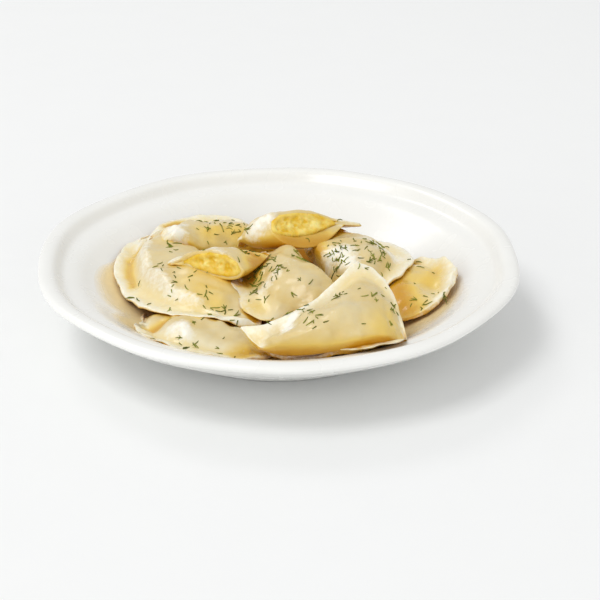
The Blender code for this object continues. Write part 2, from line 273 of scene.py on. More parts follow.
def makeButter():
    material, tree, shader = newMaterial("meltedButterAndShade")
    place = addNode(tree, "ShaderNodeTexCoord").outputs["Object"]
    depth = addNode(tree, "ShaderNodeAttribute", attribute_name="depth").outputs["Fac"]
    gapShade = addNode(tree, "ShaderNodeAttribute", attribute_name="gapShade").outputs["Fac"]
    drift = addNoise(tree, place, liquid["driftScale"], 3.0)
    alpha = addMath(tree, "MULTIPLY", depth, addRange(tree, drift, 0.3, 0.7, 0.8, 1.05))
    # painted shade: the gap share makes the film opaque as well as dark
    alpha = addMath(tree, "MAXIMUM", addMath(tree, "MULTIPLY", alpha, liquid["alpha"]), gapShade)
    tree.links.new(alpha, shader.inputs["Alpha"])
    tree.links.new(addMix(tree, gapShade, liquid["thin"], liquid["deep"]), shader.inputs["Base Color"])
    rough = addRange(tree, drift, 0.3, 0.7, liquid["roughness"], liquid["roughness"] + 0.06)
    rough = addMath(tree, "MAXIMUM", rough, addMath(tree, "MULTIPLY", gapShade, liquid["gapRoughness"]))
    tree.links.new(rough, shader.inputs["Roughness"])
    shader.inputs["Specular IOR Level"].default_value = liquid["shine"]
    shader.inputs["IOR"].default_value = 1.46
    return material


glazeFinish, doughFinish, mashFinish = makeGlaze(), makeDough(), makeMash()
herbFinish, butterFinish = makeHerb(), makeButter()
print("materials ready")


def finishPiece(obj, material):
    obj.data.materials.clear()
    obj.data.materials.append(material)
    pick(obj)
    bpy.ops.object.shade_smooth()
    deselectAll()
    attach(obj, "root")


# the plate: its section drawn with extrudes and spun, then the rim is let wander as by hand
plateShape = dict(
    rimRadius=0.120, rimWander=0.0024, rimLift=0.0006, wanderFrom=0.090, lobeWidth=15, lobeLevel=0.45,
    liftTurn=0.7, lobes=(-150, -117, -85, -55, -18, 20, 48, 79, 118, 161), steps=96, weld=0.00002, smoothness=2,
    section=(
        # up the inside: well, wall and brim
        (0.0, 0.0080), (0.022, 0.0080), (0.044, 0.0081), (0.060, 0.0104), (0.075, 0.0158), (0.087, 0.0224),
        (0.0945, 0.0272), (0.0975, 0.0292), (0.1008, 0.0307), (0.1042, 0.0315), (0.1066, 0.0320),
        # the lip band and its edge
        (0.1082, 0.0329), (0.1097, 0.0347), (0.1112, 0.0366), (0.1130, 0.0378), (0.1160, 0.0382),
        (0.1188, 0.0378), (0.1200, 0.0362), (0.1193, 0.0346),
        # down the outside to the foot ring and under the well
        (0.1166, 0.0326), (0.1120, 0.0289), (0.1000, 0.0213), (0.0850, 0.0121), (0.0720, 0.0043),
        (0.0664, 0.0014), (0.0655, 0.0004), (0.0645, 0.0), (0.0618, 0.0), (0.0608, 0.0006), (0.0598, 0.0026),
        (0.0560, 0.0032), (0.0300, 0.0032), (0.0, 0.0032)))


def rimWave(angle):
    # soft corners pressed out of the rim by hand, between straighter stretches
    total = -plateShape["lobeLevel"]
    for lobe in plateShape["lobes"]:
        away = (math.degrees(angle) - lobe + 180.0) % 360.0 - 180.0
        total += math.exp(-(away / plateShape["lobeWidth"]) ** 2)
    return total


def makePlate():
    deselectAll()
    bpy.ops.mesh.primitive_plane_add(size=0.01)
    plate = bpy.context.object
    plate.name = "plateGlazed"
    section = [Vector((radius, 0.0, height)) for radius, height in plateShape["section"]]
    bpy.ops.object.mode_set(mode="EDIT")
    mesh = bmesh.from_edit_mesh(plate.data)
    corners = list(mesh.verts)
    bmesh.ops.delete(mesh, geom=corners[1:], context="VERTS")
    corners[0].co = section[0]
    bmesh.update_edit_mesh(plate.data)
    bpy.ops.mesh.select_all(action="SELECT")
    for before, after in zip(section, section[1:]):
        bpy.ops.mesh.extrude_region_move(TRANSFORM_OT_translate={"value": after - before})
    bpy.ops.mesh.select_all(action="SELECT")
    bpy.ops.mesh.spin(steps=plateShape["steps"], angle=math.tau, center=(0, 0, 0), axis=(0, 0, 1))
    bpy.ops.mesh.select_all(action="SELECT")
    bpy.ops.mesh.remove_doubles(threshold=plateShape["weld"])
    bpy.ops.mesh.normals_make_consistent(inside=False)
    bpy.ops.object.mode_set(mode="OBJECT")
    addSubdivision(plate, plateShape["smoothness"])
    applyModifiers(plate)
    for vertex in plate.data.vertices:
        radius = math.hypot(vertex.co.x, vertex.co.y)
        if radius > 0.001:  # the middle stays where it is
            angle = math.atan2(vertex.co.y, vertex.co.x)
            share = smoothStep(plateShape["wanderFrom"], plateShape["rimRadius"], radius)
            stretch = 1.0 + plateShape["rimWander"] * rimWave(angle) * share / radius
            vertex.co.x *= stretch
            vertex.co.y *= stretch
            vertex.co.z += plateShape["rimLift"] * share * math.sin(2 * angle + plateShape["liftTurn"])
    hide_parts("plate")
    finishPiece(plate, glazeFinish)
    return plate


plate = makePlate()
plateTree = treeOf(plate)
print("plate:", len(plate.data.polygons), "faces")


# dumplings: the frame's shapes softened, pressed, lumped and rippled
pastry = dict(
    thin=0.0036, thick=0.0068, nearFilling=0.0034, sharpAngle=48, edgeCrease=0.50, foldCrease=0.55, softening=1,
    # rimHighlight: how much painted highlight the upward flap rims get
    shoulder=0.0024, valley=0.0010, plumpFrom=(0.25, 0.5), plumpTo=(0.8, 1.0), rimHighlight=0.55,
    lumpSize=0.0105, lumpHeight=0.0042, dimpleSize=0.0050, dimpleHeight=0.0007, rippleSize=0.0125,
    rippleHeight=0.0032, waverSize=0.0050, waverHeight=0.0007,
    # how far a face has to turn upward before each of these starts, and before it is full
    crownFacing=(-0.1, 0.5), pressFacing=(-0.2, 0.3), strokeFacing=(-0.6, 0.2), rimFacing=(-0.5, 0.1))
# ruffle and puff: how much the flap waves and the filling shows, beside the others
# flapLift: how far the flap stands up off what it lies on
# runs: how much painted shade, in butter colours, lies on the sides turned from the key light
# presses: share of the width and depth, how far round, and which way a thumb has pushed
# strokes: points in shares of the width and depth, how far round, lift, butter with painted shade, and painted
# highlight
dumplings = {
    "pierog_front_left": dict(
        piece="doughFrontLeft", ruffle=1.5, flapLift=-0.0008, runs=0.70,
        presses=(
            ((0.14, 0.20), 0.020, (0.0, 0.0, -0.0014)), ((0.22, 0.20), 0.013, (-0.0004, -0.0018, 0.0002)),
            ((0.34, 0.40), 0.012, (0.0, 0.0, 0.0026)), ((0.17, 0.55), 0.009, (0.0, 0.0, -0.0026))),
        strokes=(
            (((0.28, 0.35), (0.35, 0.39), (0.38, 0.28)), 0.007, 0.0014, 0.0, 0.8),
            (((0.13, 0.54), (0.22, 0.58)), 0.006, -0.0012, 0.95, 0.0),
            (((0.08, 0.33), (0.27, 0.22)), 0.003, 0.0008, 0.0, 0.6),
            (((0.70, 0.14), (0.84, 0.27)), 0.007, 0.0, 0.6, 0.0),
            (((0.12, 0.30), (0.22, 0.17), (0.32, 0.10)), 0.006, 0.0002, 0.0, 0.6))),
    "pierog_front_low": dict(
        piece="doughFrontLow",
        presses=(
            ((0.62, 0.14), 0.024, (0.0, -0.0018, 0.0026)), ((0.80, 0.16), 0.024, (0.0070, -0.0125, 0.0068))),
        strokes=(
            (((0.45, -0.02), (0.72, -0.14), (0.90, -0.06), (1.03, 0.16)), 0.010, 0.0, 0.0, 0.65),)),
    "pierog_left": dict(
        piece="doughLeft", ruffle=1.25, puff=1.2, flapLift=0.0008, runs=0.75,
        presses=(
            ((0.27, 0.88), 0.017, (0.0020, 0.0085, 0.0024)), ((0.24, 0.62), 0.013, (0.0, 0.0, 0.0024)),
            ((0.36, 0.38), 0.014, (0.0, 0.0, 0.0026)), ((0.46, 0.54), 0.012, (0.0, 0.0, -0.0015)),
            ((0.98, 0.12), 0.014, (0.0040, 0.0022, 0.0016))),
        strokes=(
            (((0.21, 0.80), (0.20, 0.64), (0.24, 0.50), (0.32, 0.37), (0.44, 0.24), (0.60, 0.14)),
             0.006, 0.0024, 0.0, 0.55),
            (((0.16, 0.80), (0.11, 0.69), (0.12, 0.56), (0.16, 0.44)), 0.0045, -0.0012, 0.75, 0.0),
            (((0.22, 0.33), (0.30, 0.23), (0.44, 0.11), (0.63, 0.07)), 0.005, -0.0006, 0.1, 0.25),
            (((0.33, 0.42), (0.39, 0.31)), 0.006, 0.0006, 0.0, 0.6), (((0.64, 0.14),), 0.004, 0.0006, 0.0, 0.6),
            (((0.74, 0.12),), 0.009, 0.0, 0.4, 0.0), (((0.54, 0.32), (0.66, 0.18)), 0.013, 0.0, 0.35, 0.0),
            (((0.15, 0.93), (0.20, 0.99)), 0.006, 0.0, 0.0, 0.7))),
    "pierog_back_left": dict(
        piece="doughBackLeft", flapLift=0.0018,
        presses=(
            ((0.14, 0.12), 0.007, (0.0, 0.0, -0.0016)), ((0.25, 0.22), 0.015, (0.0, 0.0, 0.0019)),
            ((0.14, 0.62), 0.016, (0.0, 0.0, 0.0022)), ((0.46, 0.88), 0.018, (0.0, 0.0, -0.0010))),
        strokes=(
            (((0.18, 0.16), (0.23, 0.08)), 0.009, 0.0002, 0.0, 1.0),
            (((0.22, 0.20), (0.27, 0.30)), 0.006, 0.0008, 0.0, 0.7),
            (((0.08, 0.08), (0.09, 0.26)), 0.006, -0.0012, 1.0, 0.0),
            (((0.13, 0.60), (0.20, 0.69), (0.30, 0.73), (0.42, 0.74)), 0.0055, -0.0012, 1.0, 0.0),
            (((0.45, 0.24), (0.55, 0.36), (0.66, 0.30)), 0.011, 0.0, 0.6, 0.0),
            (((0.80, 0.24), (0.94, 0.32)), 0.012, 0.0, 1.0, 0.0))),
    "pierog_right": dict(
        piece="doughRight", ruffle=1.5, flapLift=0.0010,
        presses=(
            ((0.67, 0.41), 0.010, (0.0, 0.0, -0.0028)), ((0.92, 0.41), 0.008, (-0.0026, 0.0, 0.0)),
            ((0.62, 0.20), 0.009, (0.0, 0.0, 0.0014)), ((0.42, 0.70), 0.012, (0.0, 0.0, 0.0015))),
        strokes=(
            (((0.89, 0.72), (0.93, 0.47)), 0.004, 0.0008, 0.0, 0.4),
            (((0.72, 0.62), (0.64, 0.45)), 0.011, -0.0006, 0.6, 0.0),
            (((0.20, 0.70), (0.26, 0.40), (0.34, 0.12)), 0.018, 0.0, 1.0, 0.0))),
    "pierog_back_right": dict(
        piece="doughBackRight", puff=0.5, runs=0.45,
        presses=(
            ((0.15, 0.46), 0.013, (-0.0055, 0.0, 0.0030)), ((0.10, 0.55), 0.012, (-0.0030, 0.0, 0.0045))),
        strokes=(
            (((0.28, 0.38), (0.36, 0.38), (0.42, 0.27)), 0.010, 0.0008, 0.0, 0.9),
            (((0.05, 0.88), (0.06, 0.60), (0.12, 0.44)), 0.012, 0.0, 1.0, 0.0),
            (((0.70, 0.60), (0.84, 0.48)), 0.011, 0.0, 0.0, 0.65))),
    "pierog_middle": dict(
        piece="doughMiddle", puff=0.35,
        presses=(
            ((0.50, 0.70), 0.012, (0.0, 0.0020, 0.0025)), ((0.18, 0.10), 0.016, (-0.0040, -0.0065, -0.0005)),
            ((0.36, 0.08), 0.015, (-0.0010, -0.0060, -0.0005)), ((0.29, 0.02), 0.013, (0.0, -0.0045, -0.0012))),
        strokes=(
            (((0.28, 0.25), (0.33, 0.30), (0.39, 0.33)), 0.006, 0.0014, 0.0, 0.6),
            (((0.50, 0.44),), 0.006, 0.0, 0.0, 0.3), (((0.22, 0.10),), 0.010, 0.0, 0.4, 0.0))),
    "pierog_front": dict(
        piece="doughFront", ruffle=0.7, puff=0.35, runs=0.30,
        presses=(
            ((0.70, 0.49), 0.008, (0.0, 0.0, -0.0020)), ((0.79, 0.48), 0.006, (0.0, 0.0, -0.0014)),
            ((0.42, 0.34), 0.014, (0.0, -0.0005, 0.0034)), ((0.64, 0.22), 0.013, (0.0, -0.0005, 0.0016))),
        strokes=(
            (((0.29, 0.19), (0.30, 0.31), (0.33, 0.39)), 0.0055, 0.0012, 0.0, 1.0),
            (((0.90, 0.31), (0.84, 0.14)), 0.012, 0.0, 0.45, 0.0),
            (((0.03, 0.50), (0.08, 0.34), (0.14, 0.18)), 0.0040, 0.0, 0.0, 0.35))),
    "pierog_half_left": dict(
        piece="doughHalfLeft", ruffle=0.6,
        strokes=(
            (((0.53, 0.73), (0.46, 0.47), (0.55, 0.30)), 0.006, 0.0, 0.0, 0.5),
            (((0.80, 0.52), (0.93, 0.44), (0.86, 0.30)), 0.009, 0.0, 1.0, 0.0))),
    "pierog_half_top": dict(
        piece="doughHalfTop", ruffle=0.5,
        strokes=(
            (((0.14, 0.26), (0.24, 0.29)), 0.008, 0.0, 0.0, 0.9),
            (((0.37, 0.04), (0.55, 0.15), (0.70, 0.30)), 0.012, 0.0, 1.0, 0.0),
            (((0.10, 0.18),), 0.007, 0.0, 0.3, 0.0)))}
fillings = {"pierog_half_left_filling": "mashHalfLeft", "pierog_half_top_filling": "mashHalfTop"}
# how closed in a place has to be before butter and painted shade gather there, and which side of a dumpling
# faces the key light and stays pale while the far side gets painted shade
shelter = dict(
    reach=0.022, rays=26, goldenAngle=2.399963, start=0.0006, farShare=0.6, open=0.14, closed=0.66,
    litSide=(-0.36, -0.12, 0.92), litFacing=(-0.35, 0.92), unlitShadeShare=0.80, crease=0.30)
# how a copied piece is welded and its thickness felt for
meshing = dict(weld=0.00003, faceAngle=60, shapeAngle=70, skip=0.0001, deepest=0.03, layers=4)


def copyOfNode(nodeName, pieceName):
    piece = bpy.data.objects.new(pieceName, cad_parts[nodeName].data.copy())
    bpy.context.scene.collection.objects.link(piece)
    pick(piece)
    bpy.ops.mesh.customdata_custom_splitnormals_clear()
    bpy.ops.object.mode_set(mode="EDIT")
    bpy.ops.mesh.select_all(action="SELECT")
    bpy.ops.mesh.remove_doubles(threshold=meshing["weld"])
    bpy.ops.mesh.mark_sharp(clear=True)
    bpy.ops.mesh.tris_convert_to_quads(face_threshold=math.radians(meshing["faceAngle"]),
                                       shape_threshold=math.radians(meshing["shapeAngle"]))
    bpy.ops.object.mode_set(mode="OBJECT")
    return piece


def depthBelow(tree, point, normal):
    # how thick the piece is under a point, straight through any pocket
    depth, start = 0.0, point - normal * meshing["skip"]
    for _ in range(meshing["layers"]):
        hit, _, _, step = tree.ray_cast(start, -normal, meshing["deepest"])
        if hit is None:
            break
        depth += step
        start = hit - normal * meshing["skip"]
    return depth


def fanOfRays(count):
    # directions over a half sphere, more of them straight up than sideways
    rays = []
    for i in range(count):
        height = math.sqrt((i + 0.5) / count)
        side, turn = math.sqrt(1.0 - height * height), shelter["goldenAngle"] * i
        rays.append(Vector((side * math.cos(turn), side * math.sin(turn), height)))
    return rays


def shelterAt(tree, rays, point, normal):
    # how closed in a point is by what lies round it, from 0 to 1
    turn = normal.to_track_quat("Z", "Y")
    start, closed = point + normal * shelter["start"], 0.0
    for ray in rays:
        hit, _, _, distance = tree.ray_cast(start, turn @ ray, shelter["reach"])
        if hit is not None:
            closed += 1.0 - shelter["farShare"] * distance / shelter["reach"]
    return closed / len(rays)


def addGroup(piece, name, weights):
    group = piece.vertex_groups.new(name=name)
    for i, weight in enumerate(weights):
        group.add([i], weight, "REPLACE")


def weighPiece(piece, stuffing):
    # vertex groups: flap where the dough is thin, rim at its very edge, valley where it meets the belly,
    # shoulder where the belly rises, crown where it faces up
    tree = treeOf(piece)
    shape = bmesh.new()
    shape.from_mesh(piece.data)
    crease = shape.edges.layers.float.new("crease_edge")
    flapWeights, rimWeights, foldWeights = [], [], []
    depths = [depthBelow(tree, vertex.co, vertex.normal) for vertex in shape.verts]
    for vertex, depth in zip(shape.verts, depths):
        flap = 1.0 - smoothStep(pastry["thin"], pastry["thick"], depth)
        if stuffing is not None and stuffing.find_nearest(vertex.co)[3] < pastry["nearFilling"]:
            flap = 0.0
        flapWeights.append(flap)
    shape.verts.index_update()
    sharpest = math.radians(pastry["sharpAngle"])
    sharp = {edge for edge in shape.edges if len(edge.link_faces) == 2 and edge.calc_face_angle(0.0) > sharpest}
    for vertex, flap in zip(shape.verts, flapWeights):
        rimWeights.append(flap if any(edge in sharp for edge in vertex.link_edges) else 0.0)
        foldWeights.append(1.0 if flap > 0.9 and rimWeights[-1] < 0.1 else 0.0)
    for edge in shape.edges:
        ends = [vertex.index for vertex in edge.verts]
        if edge in sharp:
            edge[crease] = pastry["edgeCrease"]
        elif all(foldWeights[i] > 0.5 for i in ends):
            edge[crease] = pastry["foldCrease"]
    shape.to_mesh(piece.data)
    shape.free()
    crowns = [smoothStep(*pastry["crownFacing"], vertex.normal.z) for vertex in piece.data.vertices]
    thickest = max(depths)
    plumps = [smoothStep(*pastry["plumpFrom"], depth / thickest)
              * (1.0 - smoothStep(*pastry["plumpTo"], depth / thickest)) for depth in depths]
    addGroup(piece, "flap", flapWeights)
    addGroup(piece, "rim", rimWeights)
    addGroup(piece, "belly", [(1.0 - flap) * crown for flap, crown in zip(flapWeights, crowns)])
    addGroup(piece, "crown", crowns)
    addGroup(piece, "valley", [fold * crown for fold, crown in zip(foldWeights, crowns)])
    addGroup(piece, "shoulder", [plump * crown if stuffing is None else 0.0
                                 for plump, crown in zip(plumps, crowns)])


def groupValues(piece, name):
    index = piece.vertex_groups[name].index
    values = [0.0] * len(piece.data.vertices)
    for vertex in piece.data.vertices:
        for entry in vertex.groups:
            if entry.group == index:
                values[vertex.index] = entry.weight
    return values


def spotOn(nodeName, shares):
    low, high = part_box(nodeName)
    return [low[i] + (high[i] - low[i]) * shares[i] for i in range(2)]


def pressPiece(piece, nodeName):
    for shares, reach, move in dumplings[nodeName].get("presses", ()):
        spot = spotOn(nodeName, shares)
        for vertex in piece.data.vertices:
            away = math.hypot(vertex.co.x - spot[0], vertex.co.y - spot[1])
            push = (1.0 - smoothStep(0.0, reach, away)) * smoothStep(*pastry["pressFacing"], vertex.normal.z)
            vertex.co += Vector(move) * push


def strokeStrength(point, spots, reach):
    # 1 on a stroke, fading to 0 at its reach
    nearest = math.inf
    for start, end in zip(spots, spots[1:] or spots):
        along = end - start
        share = min(1.0, max(0.0, (point - start).dot(along) / max(along.length_squared, 1e-12)))
        nearest = min(nearest, (start + along * share - point).length)
    return 1.0 - smoothStep(0.0, reach, nearest)


def strokePiece(piece, nodeName):
    # lift the strokes, and keep how much butter with painted shade and how much painted highlight each of them
    # leaves
    dry, highlight = [1.0] * len(piece.data.vertices), [0.0] * len(piece.data.vertices)
    for points, reach, lift, butterShadeShare, highlightShare in dumplings[nodeName].get("strokes", ()):
        spots = [Vector(spotOn(nodeName, shares)) for shares in points]
        for i, vertex in enumerate(piece.data.vertices):
            facing = smoothStep(*pastry["strokeFacing"], vertex.normal.z)
            strength = strokeStrength(vertex.co.xy, spots, reach) * facing
            if strength > 0.0:
                vertex.co.z += lift * strength
                dry[i] *= 1.0 - butterShadeShare * strength
                highlight[i] = max(highlight[i], highlightShare * strength)
    # painted highlight along the flap rims that face up, where no butter lies
    rims = [rim * smoothStep(*pastry["rimFacing"], vertex.normal.z)
            for rim, vertex in zip(groupValues(piece, "rim"), piece.data.vertices)]
    highlight = [max(value, pastry["rimHighlight"] * rim * left) for value, rim, left in zip(highlight, rims, dry)]
    addGroup(piece, "dry", dry)
    addGroup(piece, "highlight", highlight)


def soakAndShadePiece(piece, nodeName, tree, rays):
    # butter colour gathers wherever a dumpling is closed in by its neighbours and in its crease, as butter and
    # painted shade, and down the sides turned from the key light as painted shade
    pale = Vector(shelter["litSide"]).normalized()
    run = shelter["unlitShadeShare"] * dumplings[nodeName].get("runs", 1.0)
    creases, drys, soakAndShadeValues = groupValues(piece, "valley"), groupValues(piece, "dry"), []
    for vertex, crease, dryShare in zip(piece.data.vertices, creases, drys):
        closed = smoothStep(shelter["open"], shelter["closed"], shelterAt(tree, rays, vertex.co, vertex.normal))
        # painted shade on the side turned away from the key light
        away = 1.0 - smoothStep(*shelter["litFacing"], vertex.normal.dot(pale))
        dry = (1.0 - closed) * (1.0 - run * away)
        dry *= 1.0 - shelter["crease"] * crease
        dry *= dryShare
        soakAndShadeValues.append(1.0 - dry)
    addGroup(piece, "soakAndShade", soakAndShadeValues)


def startDumpling(nodeName):
    dumpling = dumplings[nodeName]
    piece = copyOfNode(nodeName, dumpling["piece"])
    stuffing = None
    if nodeName + "_filling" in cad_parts:
        stuffing = treeOf(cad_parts[nodeName + "_filling"])
    weighPiece(piece, stuffing)
    addSubdivision(piece, 1)
    if stuffing is None:
        soften = piece.modifiers.new("soften", "SMOOTH")
        soften.iterations = pastry["softening"]
        soften.vertex_group = "rim"
        soften.invert_vertex_group = True
    for name, way in (("shoulder", 1.0), ("valley", -1.0)):
        puff = piece.modifiers.new(name, "DISPLACE")
        puff.strength = way * pastry[name] * dumpling.get("puff", 1.0)
        puff.mid_level = 0.0
        puff.vertex_group = name
    applyModifiers(piece)
    for vertex, flap in zip(piece.data.vertices, groupValues(piece, "flap")):
        vertex.co.z += flap * dumpling.get("flapLift", 0.0)
    pressPiece(piece, nodeName)
    addSubdivision(piece, 1)
    applyModifiers(piece)
    strokePiece(piece, nodeName)
    return piece


def detailDumpling(nodeName, piece):
    addClouds(piece, "lumps", pastry["lumpSize"], pastry["lumpHeight"], "belly")
    wave = dumplings[nodeName].get("ruffle", 1.0)
    addClouds(piece, "ripples", pastry["rippleSize"], pastry["rippleHeight"] * wave, "rim", "RGB_TO_XYZ", 1)
    addSubdivision(piece, 1)
    addClouds(piece, "dimples", pastry["dimpleSize"], pastry["dimpleHeight"], "crown")
    addClouds(piece, "wavers", pastry["waverSize"], pastry["waverHeight"] * wave, "rim", "RGB_TO_XYZ", 1)
    applyModifiers(piece)
    writeAttribute(piece, "thinDough", groupValues(piece, "flap"))
    writeAttribute(piece, "butterSoakAndShade", groupValues(piece, "soakAndShade"))
    writeAttribute(piece, "paintedHighlight", groupValues(piece, "highlight"))
    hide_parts(nodeName)
    finishPiece(piece, doughFinish)


doughPieces = {nodeName: startDumpling(nodeName) for nodeName in dumplings}
stuffings = [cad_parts[nodeName] for nodeName in fillings]
heapTree = treeOf(plate, *doughPieces.values(), *stuffings)
rays = fanOfRays(shelter["rays"])
for nodeName, piece in doughPieces.items():
    soakAndShadePiece(piece, nodeName, heapTree, rays)
for nodeName, piece in doughPieces.items():
    detailDumpling(nodeName, piece)
print("dumplings:", sum(len(piece.data.polygons) for piece in doughPieces.values()), "faces")


# fillings: mashed potato and curd, torn where the dumpling is cut
crumbly = dict(
    voxel=0.00055, lining=0.0008, torn=0.0001, tornFrom=0.0006, tornTo=0.0026, clumpSize=0.0055,
    clumpHeight=0.0026, crumbSize=0.0026, crumbHeight=0.0015, low=-0.0010, high=0.0012, liningShade=0.4)


def makeFilling(nodeName, pieceName):
    piece = copyOfNode(nodeName, pieceName)
    remesh = piece.modifiers.new("remesh", "REMESH")
    remesh.mode = "VOXEL"
    remesh.voxel_size = crumbly["voxel"]
    applyModifiers(piece)
    smooth, pocket = treeOf(piece), treeOf(doughPieces[nodeName.replace("_filling", "")])
    tornWeights = [smoothStep(crumbly["tornFrom"], crumbly["tornTo"], pocket.find_nearest(vertex.co)[3])
                   for vertex in piece.data.vertices]
    addGroup(piece, "lining", [1.0 - torn for torn in tornWeights])
    addGroup(piece, "torn", tornWeights)
    for name in ("lining", "torn"):
        swell = piece.modifiers.new(name, "DISPLACE")
        swell.strength = crumbly[name]
        swell.mid_level = 0.0
        swell.vertex_group = name
    addClouds(piece, "clumps", crumbly["clumpSize"], crumbly["clumpHeight"], "torn")
    addClouds(piece, "crumbs", crumbly["crumbSize"], crumbly["crumbHeight"], "torn", basis="VORONOI_F1")
    applyModifiers(piece)
    # raised: height over the smooth surface, dimmed along the lining, so low places get painted shade
    raised = []
    for vertex, torn in zip(piece.data.vertices, groupValues(piece, "torn")):
        spot, normal, _, _ = smooth.find_nearest(vertex.co)
        height = (vertex.co - spot).dot(normal) - crumbly["torn"]
        shade = crumbly["liningShade"] + (1.0 - crumbly["liningShade"]) * torn
        raised.append(smoothStep(crumbly["low"], crumbly["high"], height) * shade)
    writeAttribute(piece, "raised", raised)
    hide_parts(nodeName)
    finishPiece(piece, mashFinish)
    return piece


for nodeName, pieceName in fillings.items():
    filling = makeFilling(nodeName, pieceName)
    print(pieceName, len(filling.data.polygons), "faces")


# melted butter: a film on the plate that deepens round the dumplings and pools in the middle, turned into dark
# painted shade where the dumplings close it in
pool = dict(
    reach=0.100, cells=160, level=0.0120, wellRadius=0.066, film=0.0008, sink=0.0003, below=0.0006,
    spread=0.0045, wide=0.026, drift=0.0015, driftScale=45.0, heapHeight=0.004, fade=2.0, fadeFrom=0.086,
    fadeTo=0.098, deepAt=0.0040, poolShade=0.38, gapFrom=0.15, gapTo=0.50, innerFrom=0.056, innerTo=0.074,
    spotCore=0.3,
    # where there is more butter, and where the painted shade is darkest: place and how far round
    puddles=((-0.082, -0.012, 0.034), (-0.064, -0.052, 0.034), (0.080, -0.036, 0.042), (-0.030, -0.082, 0.020),
             (0.030, -0.086, 0.020)),
    deepSpots=((0.013, 0.052, 0.024), (-0.010, 0.058, 0.020), (-0.010, -0.015, 0.012)))


def nearSpots(point, spots):
    return max(1.0 - smoothStep(pool["spotCore"], 1.0, math.hypot(point.x - x, point.y - y) / reach)
               for x, y, reach in spots)


def makePool():
    deselectAll()
    bpy.ops.mesh.primitive_grid_add(x_subdivisions=pool["cells"], y_subdivisions=pool["cells"],
                                    size=2 * pool["reach"])
    butterShade = bpy.context.object
    butterShade.name = "meltedButterAndShade"
    shape = bmesh.new()
    shape.from_mesh(butterShade.data)
    outside = [vertex for vertex in shape.verts if math.hypot(vertex.co.x, vertex.co.y) > pool["reach"]]
    bmesh.ops.delete(shape, geom=outside, context="VERTS")
    shape.to_mesh(butterShade.data)
    shape.free()
    heap = treeOf(*doughPieces.values())
    depths, gapShades = [], []
    for vertex in butterShade.data.vertices:
        x, y, radius = vertex.co.x, vertex.co.y, math.hypot(vertex.co.x, vertex.co.y)
        floor = plateTree.ray_cast(Vector((x, y, 0.1)), Vector((0, 0, -1)))[0].z
        away = heap.find_nearest(Vector((x, y, floor + pool["heapHeight"])))[3]
        away += pool["drift"] * noise.noise(Vector((x, y, 0.0)) * pool["driftScale"])
        wet = nearSpots(vertex.co, pool["puddles"])
        pooled = smoothStep(0.0, pool["deepAt"], pool["level"] - floor)
        depth = max(pooled, 1.0 - smoothStep(0.0, pool["spread"] + pool["wide"] * wet, away))
        depth *= 1.0 - smoothStep(pool["fadeFrom"], pool["fadeTo"], radius)
        depths.append(depth ** pool["fade"])
        # painted shade: the butter turns dark and opaque where the dumplings close it in, at the shade spots
        # and over the middle pool
        closed = shelterAt(heap, rays, Vector((x, y, max(floor, pool["level"]))), Vector((0, 0, 1)))
        inner = 1.0 - smoothStep(pool["innerFrom"], pool["innerTo"], radius)
        between = smoothStep(pool["gapFrom"], pool["gapTo"], closed) * inner
        gapShades.append(max(between, nearSpots(vertex.co, pool["deepSpots"]), pool["poolShade"] * pooled))
        cover = max(depth, gapShades[-1])
        film = floor + (pool["film"] * cover - pool["sink"] * (1.0 - cover))
        vertex.co.z = max(film, pool["level"]) if radius < pool["wellRadius"] else film
    writeAttribute(butterShade, "depth", depths)
    writeAttribute(butterShade, "gapShade", gapShades)
    shell = butterShade.modifiers.new("shell", "SOLIDIFY")
    shell.thickness = pool["film"] + pool["below"]
    shell.offset = -1.0
    applyModifiers(butterShade)
    finishPiece(butterShade, butterFinish)
    return butterShade


butterShade = makePool()
print("butter:", len(butterShade.data.polygons), "faces")


